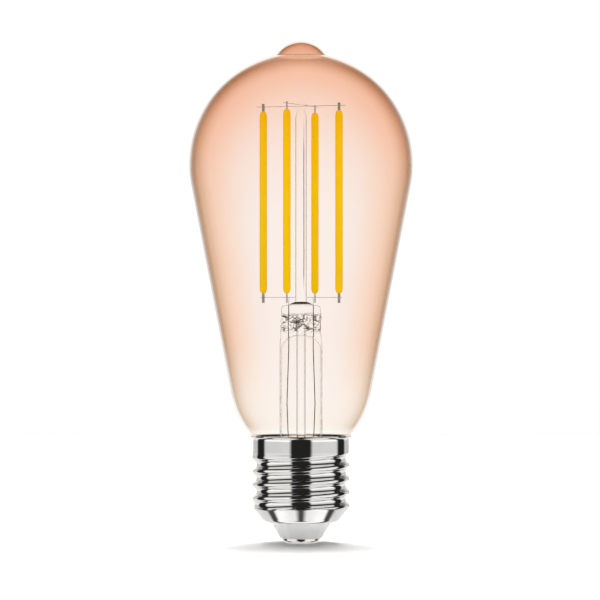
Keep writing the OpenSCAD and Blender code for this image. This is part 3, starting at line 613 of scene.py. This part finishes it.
def shell_radius(angle, z):
    """Outer radius of the rolled shell, at an angle in degrees from -180 to 180."""
    turns = (z - FIRST_CREST_Z) / PITCH - angle / 360
    along = angle + 360 * math.floor(turns)
    depth = smooth_step((along - RUN_IN_START) / RUN_IN) * smooth_step((RUN_OUT_END - along) / RUN_OUT)
    plain = SKIRT_R + (CREST_R - SKIRT_R) * smooth_step((THREAD_TOP_Z - z) / SKIRT_STEP_H)
    threaded = plain - (plain - (CREST_R - THREAD_DEPTH)) * depth * thread_groove(turns % 1)
    seat = seat_radius(z)
    blend = max(SEAT_BLEND - abs(threaded - seat), 0) / SEAT_BLEND
    return min(threaded, seat) - blend * blend * SEAT_BLEND / 4


def shell_piece():
    row = PITCH / 22
    z_low, z_high = SEAT_Z + 0.06, THREAD_TOP_Z + PITCH / 4
    rows = round((z_high - z_low) / row)
    heights = [z_low + (z_high - z_low) * i / rows for i in range(rows + 1)]
    roll = [(SEAT_HOLE_R, SEAT_Z + 0.02), (SEAT_RIM_R - 0.35, SEAT_Z), (SEAT_RIM_R - 0.12, SEAT_Z)]
    lip = [(SKIRT_R, CAP_TOP_Z - 1.3), (SKIRT_R, CAP_TOP_Z - 0.75), (SKIRT_R + 0.05, CAP_TOP_Z - 0.55),
           (SKIRT_R + 0.17, CAP_TOP_Z - 0.4), (SKIRT_R + 0.36, CAP_TOP_Z - 0.28),
           (LIP_R - 0.02, CAP_TOP_Z - 0.2)]
    bm = spun(roll + [(SKIRT_R, z) for z in heights] + lip, 240, closed=False)
    for vert in bm.verts:
        z = vert.co.z / MM
        if z_low - 1e-4 < z < z_high + 1e-4:
            angle = math.degrees(math.atan2(vert.co.y, vert.co.x))
            vert.co.x, vert.co.y = vert.co.xy.normalized() * shell_radius(angle, z) * MM
    bmesh.ops.recalc_face_normals(bm, faces=bm.faces)
    outward = sum(face.normal.dot(face.calc_center_median() * Vector((1, 1, 0))) for face in bm.faces)
    if outward < 0:
        bmesh.ops.reverse_faces(bm, faces=bm.faces)
    bmesh.ops.solidify(bm, geom=bm.faces, thickness=SHEET * MM)
    return finish_piece("screw_shell_rolled", bm, "screw_shell")


def cement_piece():
    outer = SKIRT_R - SHEET - 0.05
    low, high = cement_low.z, cement_high.z
    outline = [(outer, low), (outer, high)]
    outline += [(r, z) for r, z in bulb_wall(0) if low < z < high]
    outline += [(NECK_R, low)]
    bm = spun(outline, 96)
    for vert in bm.verts:
        if vert.co.z / MM > high - 0.1:
            vert.co.z -= 0.12 * MM * (1 + noise.noise(vert.co * 400))
    return finish_piece("basing_cement_ring", bm, "basing_cement")


# ---------------------------------------------------------------- glass

def bulb_wall(inset):
    """Half outline of the bulb from the nipple down to the neck's end, moved in by inset."""
    drop = DOME_Z - MOUTH.y
    reach = BULB_R - SHOULDER_R * (1 - math.cos(SHOULDER_TURN))
    taper = math.atan2(drop, MOUTH.x) - math.acos(reach / math.hypot(MOUTH.x, drop))
    mouth_turn = taper + SHOULDER_TURN
    down = Vector((math.cos(mouth_turn), -math.sin(mouth_turn)))
    shoulder = MOUTH - SHOULDER_R * down
    fillet = (MOUTH.x - NECK_R) / (1 - math.cos(mouth_turn))
    neck = MOUTH + fillet * down
    rise = NIPPLE_Z - DOME_Z
    dome, cap = BULB_R - inset, NIPPLE_R - inset
    meet = (rise * rise + (BULB_R + BLEND_R) ** 2 - (NIPPLE_R + BLEND_R) ** 2) / (2 * rise)
    meet_r = math.sqrt((BULB_R + BLEND_R) ** 2 - meet * meet)
    upper, lower = math.atan2(meet - rise, meet_r), math.atan2(meet, meet_r)
    points = [(0, NIPPLE_Z + cap)]
    points += arc((0, NIPPLE_Z), cap, math.radians(84), upper, 14)
    points += arc((meet_r, DOME_Z + meet), BLEND_R + inset, upper - math.pi, lower - math.pi, 8)[1:-1]
    points += arc((0, DOME_Z), dome, lower, -taper, 64)
    points += taper_points(dome, taper, shoulder, SHOULDER_R - inset)
    points += arc(shoulder, SHOULDER_R - inset, -taper, -mouth_turn, 24)
    into_cap = arc(neck, fillet + inset, math.pi - mouth_turn, math.pi, 10)
    points += [p for p in into_cap if p[1] < MOUTH.y - 0.05]
    points += [(NECK_R - inset, NECK_END_Z)]
    return points


def taper_points(dome, taper, shoulder, r, n=20):
    """Evenly spaced points on the straight wall between the dome and the shoulder."""
    turn = Vector((math.cos(taper), -math.sin(taper)))
    top = Vector((0, DOME_Z)) + dome * turn
    foot = shoulder + r * turn
    return [tuple(top.lerp(foot, i / n)) for i in range(1, n)]


def bulb_piece():
    """The blown bulb, with an attribute that is 1 on its inner wall and fades out towards the cap."""
    outer, inner = bulb_wall(0), bulb_wall(BLOWN_WALL)
    bm = spun(outer + inner[::-1], 192)
    lustre = bm.verts.layers.float.new("lustre")
    radii = sorted((z, r) for r, z in bulb_wall(BLOWN_WALL / 2))
    for vert in bm.verts:
        z, r = vert.co.z / MM, vert.co.xy.length / MM
        above = next((i for i, (height, _) in enumerate(radii) if height > z), len(radii) - 1)
        (z0, r0), (z1, r1) = radii[max(above - 1, 0)], radii[max(above, 1)]
        middle = r0 + (r1 - r0) * (z - z0) / (z1 - z0) if z1 > z0 else r0
        inside = r < middle and z < radii[-1][0]
        vert[lustre] = smooth_step((z - CAP_TOP_Z) / LUSTRE_FADE_H) if inside else 0.0
    bulb = finish_piece("glass_bulb_blown", bm, "glass_bulb", math.radians(60))
    bulb.visible_glossy = False


def stem_piece():
    """The trumpet foot, the flare tube and the press, which is the tube's end pinched flat while soft."""
    neck_in = NECK_R - CAD_WALL
    foot = FLARE_R + TRUMPET_R
    turn = math.acos((foot - neck_in) / TRUMPET_R)
    turn_in = math.acos((foot - neck_in) / (TRUMPET_R + FLARE_WALL))
    centre = (foot, NECK_END_Z + (TRUMPET_R + FLARE_WALL) * math.sin(turn_in))
    tube_rows = [centre[1] + (FLARE_TOP_Z - centre[1]) * i / 24 for i in range(1, 25)]
    press_rows = [FLARE_TOP_Z + (PRESS_TOP_Z - 2.4 - FLARE_TOP_Z) * i / 44 for i in range(1, 45)]
    top = PRESS_TOP_Z
    crown = [(FLARE_R, top - 2.1), (5.65, top - 1.6), (5.3, top - 1.2), (4.7, top - 1.0), (3.9, top - 0.95),
             (3.3, top - 0.8), (2.7, top - 0.42), (1.9, top - 0.08), (0.9, top), (0, top)]
    outer = arc(centre, TRUMPET_R, math.pi + turn, math.pi, 20)
    outer += [(FLARE_R, z) for z in tube_rows + press_rows] + crown
    bore_r = FLARE_R - FLARE_WALL
    inner = [(0, CAVITY_TOP_Z), (1.6, CAVITY_TOP_Z - 0.15), (3.6, CAVITY_TOP_Z - 0.8),
             (bore_r - 0.3, FLARE_TOP_Z + 1.2)]
    inner += [(bore_r, z) for z in reversed(tube_rows)]
    inner += arc(centre, TRUMPET_R + FLARE_WALL, math.pi, math.pi + turn_in, 20)
    bm = spun(inner + outer, 128)
    for vert in bm.verts:
        z = vert.co.z / MM
        pinch = smooth_step((z - FLARE_TOP_Z) / (PRESS_END_Z + 1.5 - FLARE_TOP_Z))
        vert.co.x *= 1 + pinch * (PRESS_HALF_W / FLARE_R - 1)
        vert.co.y *= 1 + pinch * (PRESS_HALF_T / FLARE_R - 1)
        lump = noise.noise_vector(vert.co * 260)
        ripple = noise.noise_vector(vert.co * 1000 + Vector((7, 3, 1)))
        creased = math.exp(-((z - CREASE_Z) / CREASE_H) ** 2)
        vert.co += pinch * MM * (0.25 * lump + 0.5 * creased * ripple) * Vector((1, 1, 0.8))
    return finish_piece("stem_flare_pressed", bm, "stem_flare", math.radians(75))


def exhaust_piece():
    tip, top = tube_low.z, tube_high.z
    outline = [(0, tip)] + arc((0, tip + EXHAUST_R), EXHAUST_R, math.radians(-75), 0, 8)
    outline += [(EXHAUST_R, top), (EXHAUST_BORE_R, top), (EXHAUST_BORE_R, tip + 2.5)]
    outline += [(0.4, tip + 2), (0, tip + 1.8)]
    return finish_piece("exhaust_tube_drawn", spun(outline, 48), "exhaust_tube", material=THIN_GLASS)


def rod_piece():
    """The rod on the press, melted round the top wires into a bead of its own width."""
    bead_z = TOP_WIRE_Z + WIRE_R
    straight = bead_z - 3 - PRESS_TOP_Z
    outline = [(0, PRESS_TOP_Z), (ROD_R, PRESS_TOP_Z)]
    outline += [(ROD_R, PRESS_TOP_Z + straight * i / 30) for i in range(1, 31)]
    outline += [(ROD_R * math.cos(a), bead_z + (ROD_TOP_Z - bead_z) * math.sin(a))
                for a in [math.radians(d) for d in range(-50, 86, 9)]]
    outline += [(0, ROD_TOP_Z)]
    return finish_piece("stem_rod_drawn", spun(outline, 64), "stem_rod", material=CANE_GLASS)


# ---------------------------------------------------------------- wires

def wire_piece(name, node, points, radius, bends=0.0):
    """A round wire along points in millimetres, with its corners rounded to bends."""
    path = [Vector(p) for p in points]
    if bends:
        path = rounded_path(path, bends)
    curve = bpy.data.curves.new(name, "CURVE")
    curve.dimensions = "3D"
    curve.bevel_depth = radius * MM
    curve.bevel_resolution = 4
    curve.use_fill_caps = True
    spline = curve.splines.new("POLY")
    spline.points.add(len(path) - 1)
    for point, place in zip(spline.points, path):
        point.co = (*(place * MM), 1)
    holder = bpy.data.objects.new(name + "_path", curve)
    bpy.context.scene.collection.objects.link(holder)
    bpy.context.view_layer.update()
    bm = bmesh.new()
    bm.from_mesh(holder.to_mesh())
    holder.to_mesh_clear()
    bpy.data.objects.remove(holder)
    bpy.data.curves.remove(curve)
    bmesh.ops.remove_doubles(bm, verts=bm.verts, dist=MERGE_M)
    bmesh.ops.recalc_face_normals(bm, faces=bm.faces)
    return finish_piece(name, bm, node)


def rounded_path(points, r, n=6):
    """A path with each inner corner turned into an arc of radius r, or smaller where its sides are short."""
    result = [points[0]]
    for before, here, after in zip(points, points[1:], points[2:]):
        a, b = (before - here), (after - here)
        back = min(r / math.tan(a.angle(b) / 2), 0.45 * a.length, 0.45 * b.length)
        start, end = here + a.normalized() * back, here + b.normalized() * back
        shares = [i / n for i in range(n + 1)]
        result += [(1 - t) ** 2 * start + 2 * t * (1 - t) * here + t * t * end for t in shares]
    return result + [points[-1]]


def leads():
    """Thin leads: from the driver up the flare, through the press, and on to the bottom wires."""
    board_top = corners("driver_board")[1].z
    pad_y = corners("outer_lead_left")[1].y - LEAD_R
    for side, name in ((-1, "left"), (1, "right")):
        x = side * LEAD_X
        low, high = corners(f"outer_lead_{name}")
        bow = side * (max(abs(low.x), abs(high.x)) - LEAD_X - 0.25)
        wire_piece(f"outer_lead_{name}_drawn", f"outer_lead_{name}", [
            (x, 0, high.z), (x, 0, PRESS_END_Z - 4), (x + bow, 0, (PRESS_END_Z + board_top) / 2),
            (x, 0, board_top + 5.5), (x, pad_y, board_top + 2), (x, pad_y, low.z)], LEAD_R, LEAD_BEND_R)
        low, high = corners(f"seal_wire_{name}")
        wire_piece(f"seal_wire_{name}_drawn", f"seal_wire_{name}", [
            (x, 0, low.z), (x + 0.1 * side, 0.1, low.z + 3), (x, -0.1, low.z + 6), (x, 0, high.z)], LEAD_R, 1)
        low, high = corners(f"inner_lead_{name}")
        wire_piece(f"inner_lead_{name}_drawn", f"inner_lead_{name}", [(x, 0, low.z), (x, 0, high.z)], DRAWN_R)


def top_wires():
    """Two straight wires that cross in the rod's bead, one just above the other."""
    above_z = TOP_WIRE_Z + 2 * WIRE_R + 0.02
    for name, i, z in (("top_wire_side", 1, TOP_WIRE_Z), ("top_wire_front", 2, above_z)):
        a = FILAMENT_ANGLE[i]
        ends = [Vector(polar(-WIRE_REACH, a, z)), Vector(polar(WIRE_REACH, a, z))]
        wire_piece(name + "_drawn", name, [ends[0].lerp(ends[1], t / 12) for t in range(13)], DRAWN_R)


def bottom_wires():
    """Two wires that each join a lead to the feet of two neighbouring filaments."""
    for side, i in (("left", 1), ("right", 4)):
        first, second = FILAMENT_ANGLE[i], FILAMENT_ANGLE[i] + math.pi / 2
        knee = LEAD_X * math.cos(math.pi / 4 + CAGE_TURN) / math.cos(math.pi / 4)
        route = [polar(BOTTOM_WIRE_REACH, first, BOTTOM_WIRE_Z), polar(knee, first, BOTTOM_WIRE_Z),
                 polar(knee, second, BOTTOM_WIRE_Z), polar(BOTTOM_WIRE_REACH, second, BOTTOM_WIRE_Z)]
        wire_piece(f"bottom_wire_{side}_bent", f"bottom_wire_{side}", route, DRAWN_R, 0.8)


# ---------------------------------------------------------------- filaments

def coat_end_radius(t):
    """Radius of a filament's rounded end, from its tip (0) to its full width (1)."""
    return COAT_R * (0.3 + 0.7 * math.sqrt(max(1 - (1 - t) ** 2.2, 0)))


def filament_pieces():
    """The four moulded coats, each a slightly uneven rod with rounded ends."""
    for i in (1, 2, 3, 4):
        node = f"filament_{i}_phosphor"
        low, high = corners(node)
        middle = (low + high) / 2
        length = high.z - low.z - 2 * COAT_END_L
        steps = [k / 8 for k in range(9)]
        outline = [(0, low.z)] + [(coat_end_radius(t), low.z + COAT_END_L * t) for t in steps]
        outline += [(COAT_R, low.z + COAT_END_L + length * k / 60) for k in range(1, 60)]
        outline += [(coat_end_radius(t), high.z - COAT_END_L * t) for t in reversed(steps)] + [(0, high.z)]
        bm = spun(outline, 32)
        for vert in bm.verts:
            wobble = noise.noise_vector(Vector((vert.co.x * 300, vert.co.y * 300, vert.co.z * 160 + 9 * i)))
            vert.co += 0.035 * MM * wobble
            vert.co.x += middle.x * MM
            vert.co.y += middle.y * MM
        finish_piece(f"filament_{i}_coat", bm, node)


contact_piece()
insulator_piece()
shell_piece()
cement_piece()
bulb_piece()
stem_piece()
exhaust_piece()
rod_piece()
leads()
top_wires()
bottom_wires()
filament_pieces()

# The other CAD nodes keep their own shapes and take a material
for node_name, obj in frame["nodes"].items():
    obj.data.materials.clear()
    # The two middle tabs take the lighter copy, painted as lit
    obj.data.materials.append(PAINTED_LIT_TAB if node_name in PAINTED_LIT_TAB_NODES else MATERIALS[SLOT_OF[node_name]])


# ---------------------------------------------------------------- stage

FLOOR_R = 0.8    # metres


def floor():
    bm = bmesh.new()
    bmesh.ops.create_circle(bm, cap_ends=True, segments=96, radius=FLOOR_R)
    mesh = bpy.data.meshes.new("studio_floor")
    bm.to_mesh(mesh)
    bm.free()
    board = bpy.data.objects.new("studio_floor", mesh)
    bpy.context.scene.collection.objects.link(board)
    # Heavy card, white and without gloss, that takes a soft shadow
    mesh.materials.append(mottled("Matt white studio card", "ececec", "f0f0f0", 5, (0.8, 0.9), 0.01))
    # Seen through the bulb or mirrored in the cap, its bright far edge would draw a line
    board.visible_glossy = False
    board.visible_transmission = False


def brightness(stops, low, high):
    """Stops of a ramp that runs from low to high, from pairs of a value in between and a brightness."""
    return [((at - low) / (high - low), grey(value)) for at, value in stops]


# The mirrored studio, by degrees round from the front: a dark gap in front, soft boxes at both sides, a gap
# behind each of them, and a dimmer box behind
BOXES = ((0, 0.0), (22, 0.0), (29, 1.0), (94, 1.0), (101, 0.0), (124, 0.0), (131, 0.8), (180, 0.8))
# The same for what is mirrored from steeply below, where only the front is dark
BELOW = ((0, 0.05), (14, 0.1), (44, 1.0), (180, 1.0))
STEEP = -0.64, -0.72
# By height, from straight down (-1) to straight up (1): the lamp's own dark foot, bright card with one dark
# ring in it, dimmer boxes above the card, and darkness above the boxes up to a small light overhead
HEIGHTS = (
    (-1.0, 0.04), (-0.996, 0.04), (-0.985, 0.9), (-0.9, 1.1), (-0.83, 1.1), (-0.79, 0.05), (-0.72, 0.05),
    (-0.67, 0.9), (-0.13, 1.15), (-0.07, 0.73), (0.0, 0.68), (0.06, 0.8), (0.25, 0.8), (0.42, 0.35),
    (0.58, 0.02), (0.88, 0.02), (0.94, 0.35), (1.0, 0.35))
# A cream wall straight behind, in degrees from the front, above a height
WALL_EDGES = 157, 167
WALL_FOOT = -0.5, -0.3
HAZE = 0.018
# The light that falls on things: a disc overhead, leaning to the back, and a band from below the horizon
OVERHEAD = ((0.0, 0.0), (0.88, 0.003), (1.0, 1.0))
OVERHEAD_LEAN = math.radians(16)
HORIZON = ((-1.0, 0.13), (0.16, 0.13), (0.24, 0.004), (1.0, 0.004))
LIGHT_STRENGTH = 20.0


def mirrored_studio(tree, way, lift):
    """What polished metal mirrors: soft boxes with dark gaps round the lamp, and a cream wall behind it."""
    front = add(tree, "Math", {"operation": "MULTIPLY", 1: -1.0}, {0: (way, "Y")})
    around = add(tree, "Math", {"operation": "ARCTAN2"}, {0: (way, "X"), 1: (front, 0)})
    either = add(tree, "Math", {"operation": "ABSOLUTE"}, {0: (around, 0)})
    share = add(tree, "Math", {"operation": "DIVIDE", 1: math.pi}, {0: (either, 0)})
    boxes, below = [add(tree, "ValToRGB", {"stops": brightness(stops, 0, 180)}, {"Fac": (share, 0)})
                    for stops in (BOXES, BELOW)]
    steep = add(tree, "MapRange", {"From Min": STEEP[0], "From Max": STEEP[1]}, {"Value": (way, "Z")})
    sides = add(tree, "Mix", {"data_type": "RGBA"},
                {"Factor": (steep, "Result"), MIX_A: (boxes, "Color"), MIX_B: (below, "Color")})
    heights = add(tree, "ValToRGB", {"stops": brightness(HEIGHTS, -1, 1)}, {"Fac": (lift, "Result")})
    product = add(tree, "Mix", {"data_type": "RGBA", "blend_type": "MULTIPLY", "Factor": 1.0},
                  {MIX_A: (sides, MIXED), MIX_B: (heights, "Color")})
    back = add(tree, "MapRange", {"From Min": WALL_EDGES[0] / 180, "From Max": WALL_EDGES[1] / 180},
               {"Value": (share, 0)})
    level = add(tree, "MapRange", {"From Min": WALL_FOOT[0], "From Max": WALL_FOOT[1]}, {"Value": (way, "Z")})
    behind = add(tree, "Math", {"operation": "MULTIPLY"}, {0: (back, "Result"), 1: (level, "Result")})
    wall = add(tree, "Mix", {"data_type": "RGBA", MIX_B: srgb("fdeee2")},
               {"Factor": (behind, 0), MIX_A: (product, MIXED)})
    haze = add(tree, "Mix", {"data_type": "RGBA", "blend_type": "ADD", "Factor": 1.0, MIX_B: grey(HAZE)},
               {MIX_A: (wall, MIXED)})
    return add(tree, "Background", {"Strength": 1.0}, {"Color": (haze, MIXED)})


def lighting_studio(tree, where, lift):
    """What lights the floor and everything matt: a soft disc overhead and a dim band low down all round."""
    lean = (0, math.sin(OVERHEAD_LEAN), math.cos(OVERHEAD_LEAN))
    above = add(tree, "VectorMath", {"operation": "DOT_PRODUCT", 1: lean}, {0: (where, "Generated")})
    overhead = add(tree, "ValToRGB", {"stops": brightness(OVERHEAD, 0, 1)}, {"Fac": (above, "Value")})
    horizon = add(tree, "ValToRGB", {"stops": brightness(HORIZON, -1, 1)}, {"Fac": (lift, "Result")})
    both = add(tree, "Mix", {"data_type": "RGBA", "blend_type": "ADD", "Factor": 1.0},
               {MIX_A: (overhead, "Color"), MIX_B: (horizon, "Color")})
    return add(tree, "Background", {"Strength": LIGHT_STRENGTH}, {"Color": (both, MIXED)})


def studio_light():
    """White for what is seen straight or through glass, and a studio for what is mirrored and what is lit."""
    world = bpy.data.worlds.new("Studio")
    bpy.context.scene.world = world
    world.cycles.sampling_method = "NONE"
    world.use_nodes = True
    tree = world.node_tree
    tree.nodes.clear()
    where = add(tree, "TexCoord")
    way = add(tree, "SeparateXYZ", {}, {"Vector": (where, "Generated")})
    lift = add(tree, "MapRange", {"From Min": -1.0, "From Max": 1.0}, {"Value": (way, "Z")})
    mirrored = mirrored_studio(tree, way, lift)
    lit = lighting_studio(tree, where, lift)
    seen = add(tree, "Background", {"Color": grey(1.0), "Strength": 1.0})
    ray = add(tree, "LightPath")
    straight = add(tree, "Math", {"operation": "MAXIMUM"},
                   {0: (ray, "Is Camera Ray"), 1: (ray, "Is Transmission Ray")})
    indirect = add(tree, "MixShader", {}, {0: (ray, "Is Glossy Ray"), 1: (lit, 0), 2: (mirrored, 0)})
    every = add(tree, "MixShader", {}, {0: (straight, 0), 1: (indirect, 0), 2: (seen, 0)})
    add(tree, "OutputWorld", {}, {"Surface": (every, 0)})


# The camera is level with the middle of the lamp, and far enough off for little perspective
CAMERA_ASIDE = -0.27 * MM
CAMERA_DISTANCE = 1.0
CAMERA_HEIGHT = 65.25 * MM
FRAME_WIDTH = 161.2 * MM
SENSOR = 36.0


def camera():
    data = bpy.data.cameras.new("front_view")
    data.sensor_width = SENSOR
    data.lens = SENSOR * CAMERA_DISTANCE / FRAME_WIDTH
    data.clip_start = 0.01
    view = bpy.data.objects.new("front_view", data)
    view.location = (CAMERA_ASIDE, -CAMERA_DISTANCE, CAMERA_HEIGHT)
    view.rotation_euler = (math.pi / 2, 0, 0)
    bpy.context.scene.collection.objects.link(view)
    bpy.context.scene.camera = view


floor()
studio_light()
camera()
scene = bpy.context.scene
scene.view_settings.view_transform = "Standard"
# A ray through the bulb, the stem and the tube meets many walls of glass
scene.cycles.max_bounces = 32
scene.cycles.transmission_bounces = 32
scene.cycles.glossy_bounces = 12
